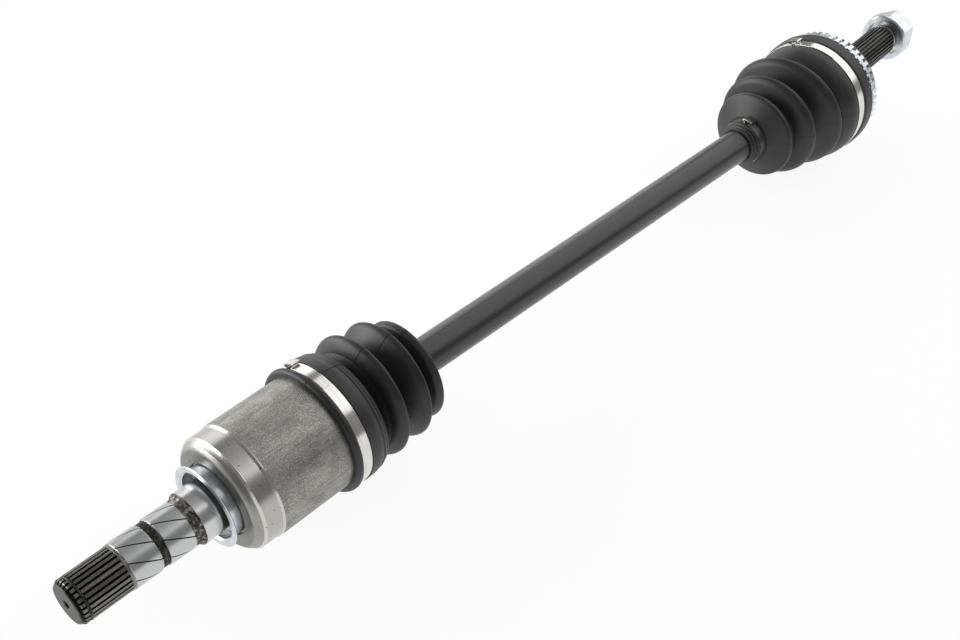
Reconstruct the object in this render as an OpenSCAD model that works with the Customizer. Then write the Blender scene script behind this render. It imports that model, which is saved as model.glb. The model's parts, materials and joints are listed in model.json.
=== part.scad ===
// Front drive axle: a plunging tripod joint, a plain bar and a fixed ball joint.
// The origin is the middle of the gearbox stub's seal journal, on the stub's axis.
// +X runs along that axis from the gearbox to the wheel, +Z is up.

/* [Layout] */
// Distance between the two joint centres
centre_distance = 572; // [420:1:760]
// Angle the gearbox-side joint lies bent at, about Z
inboard_rest_bend = 1.5; // [0:0.1:8]
// Angle the wheel-side joint lies bent at, about Z
outboard_rest_bend = 4; // [0:0.1:10]

/* [Axle bar] */
// Diameter of the bar between the boots
bar_d = 26; // [24:0.5:32]
// Diameter of the relieved necks inside the boots
neck_d = 24; // [22:0.5:24.5]
// Outer diameter of the bar's two splined ends
bar_spline_d = 25; // [24.6:0.1:26]
// Depth of a bar spline tooth
bar_spline_depth = 1.1; // [0.8:0.1:1.5]
// Teeth on each splined end of the bar
bar_spline_teeth = 24; // [18:1:30]
// Length of bar standing out past each hub
bar_tip = 4; // [3:0.5:6]
// Length of each cone between neck and bar
neck_blend = 14; // [6:1:24]

/* [Tripod] */
// Distance from the bar's axis to a trunnion head's centre
trunnion_r = 24; // [23.5:0.1:25]
// Diameter of a spherical trunnion head
head_d = 19; // [17:0.1:19.4]
// Half the length of the spider's hub
hub_half = 10; // [8:0.5:10.5]
// Diameter of the spider's hub
hub_d = 30.4; // [29:0.1:31]
// Diameter of the trunnion neck under the head
trunnion_neck_d = 13.2; // [11:0.1:13.6]
// Outer diameter of a roller
roller_d = 34; // [33:0.1:35]
// Width of a roller
roller_w = 11; // [10:0.1:12]
// Wall of the inner ring that tilts on the head
ring_wall = 2; // [1.6:0.1:2.2]
// Diameter of a needle
needle_d = 2.2; // [2:0.1:2.4]
// Needles in each roller
needles = 32; // [16:1:34]
// Thickness of the rings that hold the needles in
keeper_t = 0.8; // [0.6:0.1:1]

/* [Inboard housing] */
// Diameter of the as-forged cylinder
housing_d = 80.4; // [78:0.2:90]
// Diameter of the turned band beside the nose
band_d = 78.6; // [74:0.2:78.6]
// Joint centre to the open mouth
mouth_x = 29; // [24:0.5:34]
// Joint centre to the bottom of the cavity
cavity_x = 40; // [38:0.5:42]
// Joint centre to the step up to the cylinder
step_x = 42.4; // [41:0.1:46]
// Joint centre to the nose edge of the turned band
band_x = 55.7; // [53:0.1:57]
// Joint centre to the flat of the nose
nose_x = 60.5; // [59:0.1:62]
// Diameter of the bore between the tracks
tulip_bore_d = 43; // [42:0.5:46]
// Free play between a roller and its track
track_gap = 0.55; // [0.52:0.01:0.7]

/* [Gearbox stub] */
// Joint centre to the stub's end
stub_x = 165; // [150:1:180]
// Diameter of the ground journal for the oil seal
seal_journal_d = 35.8; // [34:0.1:38]
// Joint centre to the ends of the seal journal
seal_x = [70, 82.4]; // [69:0.1:84]
// Diameter of the inner bearing journal
journal_2_d = 31.7; // [31:0.1:33]
// Joint centre to the ends of the inner journal
journal_2_x = [87.7, 105.4]; // [87:0.1:107]
// Diameter of the outer bearing journal
journal_1_d = 31.2; // [30.8:0.1:31.6]
// Joint centre to the ends of the outer journal
journal_1_x = [110.8, 129.4]; // [109:0.1:131]
// Diameter of the forged groove between the journals
forged_groove_d = 29.8; // [28:0.1:30.4]
// Outer diameter of the gearbox spline
stub_spline_d = 29.8; // [29:0.1:30.4]
// Depth of a gearbox spline tooth
stub_spline_depth = 1.5; // [1:0.1:2]
// Teeth on the gearbox spline
stub_spline_teeth = 27; // [20:1:34]
// Length of the chamfer on the stub's end
stub_chamfer = 3; // [2:0.1:4]
// Joint centre to the circlip
circlip_x = 159; // [157:0.1:160]
// Outer diameter of the circlip as it stands
circlip_d = 30.5; // [30.2:0.1:30.6]
// Diameter of the circlip's wire
circlip_wire_d = 1.8; // [1.4:0.1:2]
// How far the loose circlip has dropped off the stub's axis
circlip_drop = 0.3; // [0:0.1:0.3]
// Angle from +Y of the circlip's free end, towards which it has dropped
circlip_angle = 203; // [180:1:230]

/* [Dust shield] */
// Outer diameter of the shield's band
shield_band_d = 48.2; // [46:0.1:52]
// Outer diameter of the shield's flange
shield_flange_d = 56.6; // [54:0.1:60]
// Thickness of the shield's sheet
shield_t = 1.1; // [0.8:0.1:1.4]
// Joint centre to the flange's outer face
shield_x = 69.2; // [67:0.1:71]

/* [Ball joint] */
// Diameter of a ball
ball_d = 19.05; // [18.6:0.01:19.3]
// Distance from the joint's axis to a ball's centre
ball_r = 32; // [31.8:0.05:32.4]
// Offset of each set of tracks from the joint's centre
track_offset = 4; // [3:0.1:4.4]
// Free play between a ball and its track
ball_track_gap = 0.25; // [0.22:0.01:0.4]
// Diameter of the inner race's sphere
race_d = 58.1; // [57:0.1:58.4]
// Half the width of the inner race
race_half = 11; // [10:0.5:12]
// Wall of the cage
cage_wall = 5.85; // [5:0.05:6]
// Half the width of the cage
cage_half = 12.5; // [12.2:0.1:12.8]
// Free play between the race, the cage and the bell
sphere_gap = 0.3; // [0.25:0.01:0.35]
// Axial free play of a ball in its window
window_gap = 0.42; // [0.4:0.01:0.5]
// Room that a window leaves along the rim for the balls' drift
window_drift = 1.3; // [1.25:0.05:1.6]

/* [Bell] */
// Joint centre to the bell's open mouth
bell_mouth_x = 19; // [18.5:0.1:19.4]
// Diameter of the bell where the boot seats
bell_seat_d = 92; // [90:0.1:94]
// Diameter of the bell's rib inside the boot's lip
bell_rib_d = 94.8; // [94:0.1:97]
// Diameter of the seat for the toothed ring
ring_seat_d = 88.8; // [87:0.1:90]
// Joint centre to the flat bottom of the bell's cavity
bell_floor_x = 28.5; // [28:0.1:30]
// Joint centre to the shoulder that meets the hub bearing
shoulder_x = 41; // [39:0.5:44]
// Diameter of the shoulder
shoulder_d = 50; // [46:0.5:54]

/* [Wheel stub] */
// Outer diameter of the hub spline
hub_spline_d = 27.2; // [26.6:0.1:28.4]
// Depth of a hub spline tooth
hub_spline_depth = 1.2; // [0.8:0.1:1.4]
// Teeth on the hub spline
hub_spline_teeth = 28; // [22:1:36]
// Joint centre to the end of the hub spline
hub_spline_x = 118; // [108:0.5:120]
// Diameter of the stub's threaded end
thread_d = 24; // [22:0.5:24]
// Joint centre to the stub's end
hub_stub_x = 146; // [144:0.5:156]

/* [Axle nut] */
// Joint centre to the nut's washer face
nut_x = 122; // [120.5:0.1:123]
// Size of the nut across its flats
nut_af = 36; // [32:0.5:38]
// Height of the nut
nut_h = 20; // [18:0.5:21]
// Diameter of the washer face
nut_face_d = 41.2; // [40:0.1:42]
// Height of the washer face's flange
nut_flange_h = 3.6; // [2:0.1:5]
// Diameter of the counterbore in the washer face
nut_recess_d = 32.4; // [30:0.1:34]
// Depth of that counterbore
nut_recess_h = 5; // [3:0.1:6]

/* [Toothed ring] */
// Teeth on the speed sensor ring
sensor_teeth = 50; // [40:1:56]
// Diameter over the sensor ring's teeth
sensor_d = 97.4; // [95:0.1:99]
// Depth of a sensor tooth
sensor_depth = 3; // [2:0.1:3.2]
// Joint centre to the ends of the sensor ring
sensor_x = [8.5, 16]; // [8:0.1:17]

/* [Boots] */
// Joint centre to the edges of the inboard boot's rolled lip
in_lip_x = [13, 18]; // [12.5:0.1:18]
// Height of the inboard boot's rolled lip above the housing
in_lip_h = 4.5; // [4:0.1:5.2]
// Rubber between the housing and the inboard large clamp
in_seat_wall = 2.7; // [2.2:0.1:3.4]
// Joint centre to the outer edge of the inboard boot's collar
in_collar_x = 42.5; // [40:0.5:44]
// Drop of the collar from its crown to that edge
in_collar_drop = 4.8; // [3:0.1:6]
// Joint centre to each crest of the inboard boot
in_crest_x = [59, 78.5, 94]; // [54:0.5:96]
// Diameter of each crest of the inboard boot
in_crest_d = [83, 79, 72]; // [68:0.5:86]
// Diameter of the valley before each crest of the inboard boot
in_valley_d = [65, 60, 57]; // [50:0.5:68]
// Distance from the inboard joint centre to the inboard boot's small end
in_small_x = 106.5; // [106:0.5:112]
// Length of the inboard boot's small cuff
in_cuff_len = 8.5; // [8.5:0.1:9]
// Joint centre to the edges of the outboard boot's lip
out_lip_x = [-8, 5]; // [-8.5:0.1:5.5]
// Height of the outboard boot's lip above the bell's rib
out_lip_h = 3.8; // [3:0.1:4.6]
// Rubber between the bell and the outboard large clamp
out_seat_wall = 3.3; // [2.8:0.1:3.6]
// Joint centre to the shoulder of the outboard boot
out_shoulder_x = 31; // [28:0.5:32]
// Diameter of that shoulder
out_shoulder_d = 95; // [92:0.5:97]
// Joint centre to each crest of the outboard boot
out_crest_x = [44.5, 72, 90.5]; // [42:0.5:92]
// Diameter of each crest of the outboard boot
out_crest_d = [96, 85, 71]; // [66:0.5:97]
// Diameter of the valley before each crest of the outboard boot
out_valley_d = [76, 68, 58]; // [52:0.5:80]
// Distance from the outboard joint centre to the outboard boot's small end
out_small_x = 114; // [112:0.5:118]
// Length of the outboard boot's small cuff
out_cuff_len = 17; // [16:0.1:17.5]
// Length of a fold's steep side, from its crest to the next valley
fold_run = 6; // [5:0.1:7]
// Rounding of a crest
crest_round = 1.6; // [1:0.1:2]
// Wall of a boot, measured outward from the axis
boot_wall = 2.6; // [2:0.1:3.2]
// Wall of a boot's small cuff under its clamp
cuff_wall = 3.4; // [2.6:0.1:4]
// Height of a small cuff's edges beside its clamp
cuff_lip = 1.4; // [1:0.1:2]

/* [Clamps] */
// Width of the inboard large clamp band
in_clamp_w = 7.3; // [6:0.1:7.6]
// Joint centre to the inboard large clamp band
in_clamp_x = 18.2; // [18:0.1:19]
// Width of the outboard large clamp band
out_clamp_w = 8.2; // [6:0.1:8.4]
// Joint centre to the mouth edge of the outboard large clamp band
out_clamp_x = -16.7; // [-17:0.1:-16.5]
// Width of a small clamp band
small_clamp_w = 6; // [5:0.1:6]
// Thickness of a clamp band
band_t = 0.8; // [0.5:0.1:1]
// Height of a clamp's pinched ear
ear_h = 3.2; // [2:0.1:4]
// Length of a clamp's pinched ear along the band
ear_len = 9; // [8:0.5:12]
// Angle from a clamp's ear to the end of its tail
tail_angle = 43; // [30:1:60]
// Angle from +Y of the inboard large clamp's ear
in_ear_angle = 62; // [0:1:359]
// Angle from +Y of the outboard large clamp's ear
out_ear_angle = 67; // [0:1:359]
// Angle from +Y of the inboard small clamp's ear
in_small_ear_angle = 62; // [0:1:359]
// Angle from +Y of the outboard small clamp's ear
out_small_ear_angle = 94; // [0:1:359]

/* [Clearances] */
// Running gap in the needle bearings and on the trunnion heads
running_gap = 0.05; // [0.02:0.01:0.08]
// Gap between a boot or clamp and a piece that it can move against
soft_gap = 0.35; // [0.3:0.05:0.5]
// Gap between fixed pieces that are pushed together
push_gap = 0.03; // [0:0.01:0.1]

/* [Hidden] */
$fn = 96;
overlap = 1;

steel = "#9a9b98";
ground_steel = "#c9cac8";
dark_steel = "#3b3d3f";
zinc = "#d3d7da";
rubber = "#2b2c2e";
band_steel = "#dadbd8";

trunnion_angles = [90, 210, 330];
ball_angles = [0, 60, 120, 180, 240, 300];
joint_x = (seal_x[0] + seal_x[1]) / 2;
bar_r = bar_d / 2;
neck_r = neck_d / 2;
head_r = head_d / 2;
ring_bore_r = head_r + running_gap;
ring_r = ring_bore_r + ring_wall;
needle_pitch_r = ring_r + running_gap / 2 + needle_d / 2;
roller_bore_r = needle_pitch_r + needle_d / 2 + running_gap / 2;
roller_r = roller_d / 2;
keeper_x = roller_w / 2 - 0.3 - keeper_t;
keeper_groove = 0.6;
needle_len = 2 * (keeper_x - 0.2);
track_half = roller_r + track_gap;
track_end_r = trunnion_r + roller_w / 2 + 0.5;
track_corner_r = 3;
snap_ring_t = 1.4;
snap_ring_h = 1.6;
spline_clear = 0.06;
// How far a tooth is rooted in the shaft that carries it.
spline_sink = 0.2;

race_r = race_d / 2;
cage_in_r = race_r + sphere_gap;
cage_out_r = cage_in_r + cage_wall;
bell_cavity_r = cage_out_r + sphere_gap;
ball_path_r = sqrt(pow(ball_r, 2) + pow(track_offset, 2));
ball_path_rest = atan(track_offset / ball_r);
track_bore_r = ball_d / 2 + ball_track_gap;
max_bend = 45;

in_cuff_x = in_small_x - in_cuff_len;
out_cuff_x = out_small_x - out_cuff_len;
cuff_in_r = bar_r + soft_gap;
cuff_out_r = cuff_in_r + cuff_wall;
// From a small cuff's start to its clamp.
cuff_edge = 1.3;
small_clamp_r = cuff_out_r + soft_gap + band_t;
in_clamp_r = housing_d / 2 + in_seat_wall + push_gap + band_t;
out_clamp_r = bell_seat_d / 2 + out_seat_wall + push_gap + band_t;
// Arc of the circlip's wire.
circlip_arc = 323;
// Angle from the middle of an ear to where its tail starts, inside the ear's foot.
ear_foot = 4;
// A boot's steep sides are this much thicker, measured outward, so that they keep its wall.
steep = 1.3;
boot_sides = 36;
// A boot is many-sided, so its seats are this much larger than the round that they clear.
boot_grow = 1 / cos(180 / boot_sides);

// ---------------------------------------------------------------- helpers

// A turned solid about the X axis from [x, radius] points.
module turned(points) {
    rotate([0, 90, 0])
        rotate_extrude()
            polygon([for (p = points) [p[1], p[0]]]);
}

// A round bar about the X axis from x0 to x1.
module round_x(x0, x1, r) {
    translate([x0, 0, 0])
        rotate([0, 90, 0])
            cylinder(h = x1 - x0, r = r);
}

// A slice of a ball centred on the origin, from x0 to x1, with its poles on the X axis.
module ball_slice(r, x0, x1) {
    intersection() {
        rotate([0, 90, 0])
            sphere(r);
        round_x(x0, x1, r + overlap);
    }
}

// A flat-sided tube about the X axis.
module tube_x(x0, x1, r_out, r_in) {
    difference() {
        round_x(x0, x1, r_out);
        round_x(x0 - overlap, x1 + overlap, r_in);
    }
}

// Outline of a straight-sided spline with n teeth, grown outward by extra.
function spline_points(n, r_out, depth, extra = 0) =
    let (pitch = 360 / n, tip = 0.27 * pitch, root = 0.36 * pitch)
    [for (i = [0 : n - 1], c = [[-root, 0], [-tip, 1], [tip, 1], [root, 0]])
        let (a = i * pitch + c[0] * (1 + 0.6 * extra), r = r_out - depth * (1 - c[1]) + extra)
        [r * cos(a), r * sin(a)]];

// A splined bar about the X axis from x0 to x1.
module splined_x(x0, x1, n, r_out, depth, extra = 0) {
    translate([x0, 0, 0])
        rotate([0, 90, 0])
            linear_extrude(x1 - x0)
                polygon(spline_points(n, r_out, depth, extra));
}

// An arc of [x, radius] points about a centre, angles from the +X side.
function arc(cx, cr, r, from, to, steps) =
    [for (i = [0 : steps]) let (a = from + (to - from) * i / steps) [cx + r * cos(a), cr + r * sin(a)]];

// A point turned about Z through the joint centre at [cx, 0, 0].
function turned_about(p, cx, a) =
    [cx + (p[0] - cx) * cos(a) - p[1] * sin(a), (p[0] - cx) * sin(a) + p[1] * cos(a), p[2]];

function smooth(t) = let (u = min(1, max(0, t))) u * u * (3 - 2 * u);

// The housing's own place: its joint centre on the stub's axis.
module at_inboard() {
    translate([joint_x, 0, 0])
        children();
}

// The bar's place, bent about the tripod joint's centre.
module at_bar() {
    at_inboard()
        rotate([0, 0, -inboard_rest_bend])
            children();
}

// The wheel-side joint's centre, still square to the bar.
module at_race() {
    at_bar()
        translate([centre_distance, 0, 0])
            children();
}

// The bell's place, bent about that centre.
module at_outboard() {
    at_race()
        rotate([0, 0, outboard_rest_bend])
            children();
}

module on_trunnion(i) {
    rotate([trunnion_angles[i] - 90, 0, 0])
        translate([0, 0, trunnion_r])
            children();
}

// A tilt ring, its needles and its roller stay square to the housing, centred on their head.
module at_roller(i) {
    a = trunnion_angles[i];
    at_bar()
        translate([0, trunnion_r * cos(a), trunnion_r * sin(a)])
            rotate([0, 0, inboard_rest_bend])
                rotate([a - 90, 0, 0])
                    children();
}

// ---------------------------------------------------------------- gearbox side

// Outside of the housing and its stub, nose to the left, from the open mouth inward.
module housing_blank() {
    house_r = housing_d / 2;
    turned_band_r = band_d / 2;
    boss_r = shield_band_d / 2 - shield_t;
    seat_r = house_r - 0.8;
    root_r = stub_spline_d / 2 - stub_spline_depth;
    turned(concat(
        [[-stub_x, 0], [-stub_x, root_r - 0.7], [-stub_x + 0.7, root_r],
            [-journal_1_x[1] - 2.6, root_r],
            [-journal_1_x[1] - 1.4, journal_1_d / 2 - 0.5], [-journal_1_x[1], journal_1_d / 2 - 0.5],
            [-journal_1_x[1] + 0.5, journal_1_d / 2], [-journal_1_x[0] - 0.5, journal_1_d / 2],
            [-journal_1_x[0], forged_groove_d / 2], [-journal_2_x[1], forged_groove_d / 2],
            [-journal_2_x[1] + 0.6, journal_2_d / 2], [-journal_2_x[0], journal_2_d / 2],
            [-journal_2_x[0] + 0.6, journal_2_d / 2 - 0.5], [-seal_x[1] - 1.2, journal_2_d / 2 + 0.2],
            [-seal_x[1], seal_journal_d / 2 - 0.8], [-seal_x[1] + 0.8, seal_journal_d / 2],
            [-seal_x[0], seal_journal_d / 2], [-seal_x[0] + 0.6, seal_journal_d / 2 - 0.6],
            [-nose_x - 1.6, seal_journal_d / 2 - 0.6], [-nose_x - 1, seal_journal_d / 2 + 0.8],
            [-nose_x - 1, boss_r - 0.6], [-nose_x - 0.4, boss_r], [-nose_x + 1.6, boss_r],
            [-nose_x + 1.6, boss_r + 2]],
        [[-nose_x, shield_band_d / 2 + 1.4]],
        arc(-nose_x + 5.2, turned_band_r - 7, 5.2, 180, 112, 5),
        [[-band_x - 0.6, turned_band_r - 1.5], [-band_x + 0.8, turned_band_r],
            [-step_x - 1, turned_band_r], [-step_x + 0.6, house_r], [in_lip_x[0] + 1, house_r],
            [in_lip_x[0] + 2, seat_r], [in_clamp_x + in_clamp_w + 1, seat_r],
            [in_clamp_x + in_clamp_w + 2, house_r], [mouth_x - 0.6, house_r], [mouth_x, house_r - 0.6],
            [mouth_x, 0]]));
}

// One roller track of the tulip, cut upward from the axis along +Z.
module roller_track() {
    length = mouth_x + cavity_x + overlap;
    translate([-cavity_x, -track_half, 0])
        cube([length, 2 * track_half, track_end_r - track_corner_r]);
    translate([-cavity_x, -track_half + track_corner_r, 0])
        cube([length, 2 * (track_half - track_corner_r), track_end_r]);
    for (side = [-1, 1])
        translate([-cavity_x, side * (track_half - track_corner_r), track_end_r - track_corner_r])
            rotate([0, 90, 0])
                cylinder(h = length, r = track_corner_r, $fn = 48);
}

module inboard_housing() color(steel) at_inboard() {
    flare_r = tulip_bore_d / 2 + 6.2;
    flare_len = 16;
    difference() {
        union() {
            housing_blank();
            intersection() {
                splined_x(-stub_x + 0.4, -journal_1_x[1] - 1, stub_spline_teeth,
                    stub_spline_d / 2, stub_spline_depth + spline_sink);
                turned([[-stub_x, 0], [-stub_x, stub_spline_d / 2 - stub_chamfer * 0.8],
                    [-stub_x + stub_chamfer, stub_spline_d / 2 + 0.1],
                    [-journal_1_x[1], stub_spline_d / 2 + 0.1], [-journal_1_x[1], 0]]);
            }
        }
        tube_x(-circlip_x - circlip_wire_d / 2 - 0.1, -circlip_x + circlip_wire_d / 2 + 0.1,
            stub_spline_d / 2 + overlap, circlip_d / 2 - circlip_wire_d - circlip_drop - 0.3);
        turned([[-stub_x - overlap, 0], [-stub_x - overlap, 4.4], [-stub_x, 3.4], [-stub_x + 3.4, 1.6],
            [-stub_x + 8, 1.6], [-stub_x + 8, 0]]);
        round_x(-cavity_x - overlap, mouth_x + overlap, tulip_bore_d / 2);
        turned([[mouth_x - flare_len, 0], [mouth_x - flare_len, tulip_bore_d / 2],
            [mouth_x, flare_r], [mouth_x + overlap, flare_r], [mouth_x + overlap, 0]]);
        for (a = trunnion_angles)
            rotate([a - 90, 0, 0])
                roller_track();
    }
}

module stub_circlip() color(dark_steel) at_inboard()
    translate([-circlip_x, circlip_drop * cos(circlip_angle), circlip_drop * sin(circlip_angle)])
        rotate([0, 90, 0])
            rotate_extrude(start = 330, angle = circlip_arc)
                translate([(circlip_d - circlip_wire_d) / 2, 0])
                    circle(circlip_wire_d / 2);

module dust_shield() color(zinc) at_inboard() {
    band_r = shield_band_d / 2;
    flange_r = shield_flange_d / 2;
    turned([[-nose_x - 0.2, band_r - shield_t], [-nose_x - 0.2, band_r],
        [-shield_x + shield_t + 1.2, band_r], [-shield_x + shield_t, band_r + 1.2],
        [-shield_x + shield_t, flange_r - 0.3], [-shield_x + shield_t - 0.4, flange_r],
        [-shield_x + 0.4, flange_r], [-shield_x, flange_r - 0.5], [-shield_x, band_r + 0.4],
        [-shield_x + 1.3, band_r - shield_t]]);
    turned([[-nose_x - 0.2, band_r - shield_t + push_gap], [-nose_x + 1, band_r - shield_t + push_gap],
        [-nose_x + 1, band_r], [-nose_x - 0.2, band_r]]);
}

module tripod_spider() color(steel) at_bar() {
    difference() {
        union() {
            turned([[-hub_half, 0], [-hub_half, hub_d / 2 - 1], [-hub_half + 1, hub_d / 2],
                [hub_half - 1, hub_d / 2], [hub_half, hub_d / 2 - 1], [hub_half, 0]]);
            for (i = [0 : 2])
                on_trunnion(i) {
                    translate([0, 0, bar_r - trunnion_r])
                        cylinder(h = trunnion_r - bar_r, d = trunnion_neck_d);
                    intersection() {
                        sphere(head_r);
                        translate([0, 0, -head_r - 4.8])
                            cylinder(h = head_r + 9.6, r = head_r + overlap);
                    }
                }
        }
        splined_x(-hub_half - overlap, hub_half + overlap, bar_spline_teeth,
            bar_spline_d / 2, bar_spline_depth, spline_clear);
    }
}

// A snap ring with its gap, seated in a groove of the bar at x.
module snap_ring(x) {
    translate([x, 0, 0])
        rotate([0, 90, 0])
            rotate_extrude(start = 285, angle = 330)
                translate([bar_spline_d / 2 - snap_ring_h / 2, push_gap])
                    square([snap_ring_h, snap_ring_t - 2 * push_gap]);
}

module spider_snap_rings() color(dark_steel) at_bar() {
    snap_ring(-hub_half - push_gap - snap_ring_t);
    snap_ring(hub_half + push_gap);
}

module tilt_ring(i) color(ground_steel) at_roller(i)
    translate([0, 0, -keeper_x])
        difference() {
            cylinder(h = 2 * keeper_x, r = ring_r);
            translate([0, 0, -overlap])
                cylinder(h = 2 * (keeper_x + overlap), r = ring_bore_r);
        }

module needle_set(i) color(ground_steel) at_roller(i)
    for (n = [0 : needles - 1])
        rotate([0, 0, n * 360 / needles])
            translate([needle_pitch_r, 0, -needle_len / 2])
                cylinder(h = needle_len, d = needle_d, $fn = 24);

module roller(i) color(steel) at_roller(i) {
    crown = 0.25;
    half = roller_w / 2;
    groove_r = roller_bore_r + keeper_groove;
    rotate_extrude()
        polygon([[roller_bore_r, -keeper_x], [groove_r, -keeper_x], [groove_r, -keeper_x - keeper_t],
            [roller_bore_r, -keeper_x - keeper_t], [roller_bore_r, -half], [roller_r - 1.1, -half],
            [roller_r - crown, -half + 0.9], [roller_r, -half / 3], [roller_r, half / 3],
            [roller_r - crown, half - 0.9], [roller_r - 1.1, half], [roller_bore_r, half],
            [roller_bore_r, keeper_x + keeper_t], [groove_r, keeper_x + keeper_t],
            [groove_r, keeper_x], [roller_bore_r, keeper_x]]);
}

module needle_keepers(i) color(dark_steel) at_roller(i)
    for (side = [-1, 1])
        translate([0, 0, side * (keeper_x + keeper_t / 2) - keeper_t / 2 + push_gap])
            difference() {
                cylinder(h = keeper_t - 2 * push_gap, r = roller_bore_r + keeper_groove - push_gap);
                translate([0, 0, -overlap])
                    cylinder(h = keeper_t + 2 * overlap, r = ring_r + 0.35);
            }

// ---------------------------------------------------------------- boots

// A [distance, outer radius, inner radius] point with the boot's own wall, or a multiple of it.
function walled(x, r, k = 1) = [x, r, max(r - k * boot_wall, cuff_in_r)];

// One fold from the valley at [x0, r0]: a full side up to the crest and a steep one down to r1.
function fold(x0, r0, xc, rc, run, r1) = concat(
    [for (t = [18 : 18 : 90]) walled(xc - (xc - x0) * cos(t), r0 + (rc - r0) * sin(t))],
    [walled(xc + 0.7 * crest_round, rc - 0.3 * crest_round),
        walled(xc + crest_round, rc - crest_round, steep), walled(xc + run, r1, steep)]);

// The three folds of a boot, from the valley at x0 to the start of its cuff.
function folds(x0, crest_x, crest_d, valley_d, cuff_x) = concat(
    [walled(x0, valley_d[0] / 2, steep)],
    fold(x0, valley_d[0] / 2, crest_x[0], crest_d[0] / 2, fold_run, valley_d[1] / 2),
    fold(crest_x[0] + fold_run, valley_d[1] / 2, crest_x[1], crest_d[1] / 2, fold_run, valley_d[2] / 2),
    fold(crest_x[1] + fold_run, valley_d[2] / 2, crest_x[2], crest_d[2] / 2,
        cuff_x - crest_x[2], cuff_out_r + cuff_lip));

// The small cuff from x0 to x1: an edge, the clamp's seat and a second edge.
function cuff(x0, x1) =
    let (lip_r = cuff_out_r + cuff_lip, seat_end = x0 + cuff_edge + small_clamp_w)
    [for (p = [[x0 + cuff_edge - 0.5, lip_r], [x0 + cuff_edge - 0.2, cuff_out_r],
            [seat_end + 0.2, cuff_out_r], [seat_end + 0.4, lip_r], [x1 - 0.3, lip_r], [x1, lip_r - 0.5]])
        [p[0], p[1], cuff_in_r]];

// Sections along the inboard boot, by distance from the joint centre.
function inboard_boot_profile() =
    let (house_r = housing_d / 2, seat = (house_r + push_gap) * boot_grow, lip_r = house_r + in_lip_h,
        clamp_in = in_clamp_r - band_t - push_gap, collar = in_clamp_r + 0.5)
    concat(
        [[in_lip_x[0], seat + 1.2, seat], [in_lip_x[0] + 0.8, lip_r - 1, seat],
            [in_lip_x[0] + 2.2, lip_r, seat], [in_clamp_x - 1.4, lip_r, seat],
            [in_clamp_x - 0.3, clamp_in, seat],
            [in_clamp_x + in_clamp_w + 0.3, clamp_in, seat],
            [in_clamp_x + in_clamp_w + 0.5, collar - 0.4, seat], [in_clamp_x + in_clamp_w + 1.2, collar, seat],
            [mouth_x + 0.8, collar, seat]],
        [for (t = [45, 65]) let (c = collar - in_collar_drop * (1 - cos(t)) / (1 - cos(65)))
            walled(in_collar_x - (in_collar_x - mouth_x - 0.8) * (1 - sin(t) / sin(65)), c, steep)],
        folds(in_collar_x + 2.5, in_crest_x, in_crest_d, in_valley_d, in_cuff_x),
        cuff(in_cuff_x, in_small_x));

// The same along the outboard boot, measured from the mouth's side towards the bar.
function outboard_boot_profile() =
    let (rib_r = bell_rib_d / 2, rib = (rib_r + push_gap) * boot_grow,
        seat = (bell_seat_d / 2 + push_gap) * boot_grow, lip_r = rib_r + out_lip_h,
        clamp_in = out_clamp_r - band_t - push_gap, clamp_x = -out_clamp_x, shoulder_r = out_shoulder_d / 2)
    concat(
        [[-out_lip_x[1], lip_r - 1.2, rib], [-out_lip_x[1] + 1.2, lip_r, rib],
            [-out_lip_x[0] - 0.4, lip_r - 0.2, rib], [-out_lip_x[0] + 0.2, clamp_in, seat],
            [clamp_x + 0.2, clamp_in, seat], [clamp_x + 1, clamp_in + 0.2, seat],
            [bell_mouth_x + 1.5, clamp_in, seat], [out_shoulder_x - 4, shoulder_r, seat - 1.6],
            walled(out_shoulder_x, shoulder_r - 2.4, steep), walled(out_shoulder_x + 4, shoulder_r - 6.5, steep)],
        folds(out_crest_x[0] - fold_run, out_crest_x, out_crest_d, out_valley_d, out_cuff_x),
        cuff(out_cuff_x, out_small_x));

// A hollow bellows lofted ring by ring. Each ring is blended between the joint member's
// axis and the bar's axis, so the boot follows the joint's resting bend about [cx, 0, 0].
module bellows(profile, cx, dir, bend, blend_from, blend_to) {
    n = len(profile);
    m = boot_sides;
    points = [for (side = [1, 2], p = profile, k = [0 : m - 1])
        let (a = k * 360 / m, r = p[side], w = 1 - smooth((p[0] - blend_from) / (blend_to - blend_from)),
            q = [cx + dir * p[0], r * cos(a), r * sin(a)])
        (1 - w) * q + w * turned_about(q, cx, bend)];
    skin = [for (s = [0, 1], j = [0 : n - 2], k = [0 : m - 1])
        let (a = (s * n + j) * m + k, b = (s * n + j) * m + (k + 1) % m, c = b + m, d = a + m)
        (s == 0) == (dir > 0) ? [a, b, c, d] : [d, c, b, a]];
    ends = [for (e = [0, n - 1], k = [0 : m - 1])
        let (a = e * m + k, b = e * m + (k + 1) % m, c = b + n * m, d = a + n * m)
        (e == 0) == (dir > 0) ? [d, c, b, a] : [a, b, c, d]];
    polyhedron(points = points, faces = concat(
        [for (f = concat(skin, ends)) [f[0], f[2], f[1]]],
        [for (f = concat(skin, ends)) [f[0], f[3], f[2]]]));
}

module inboard_boot() color(rubber) at_bar()
    bellows(inboard_boot_profile(), 0, 1, inboard_rest_bend, in_collar_x, in_cuff_x);

module outboard_boot() color(rubber) at_bar()
    bellows(outboard_boot_profile(), centre_distance, -1, outboard_rest_bend, out_shoulder_x, out_cuff_x);

// ---------------------------------------------------------------- clamps

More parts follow.
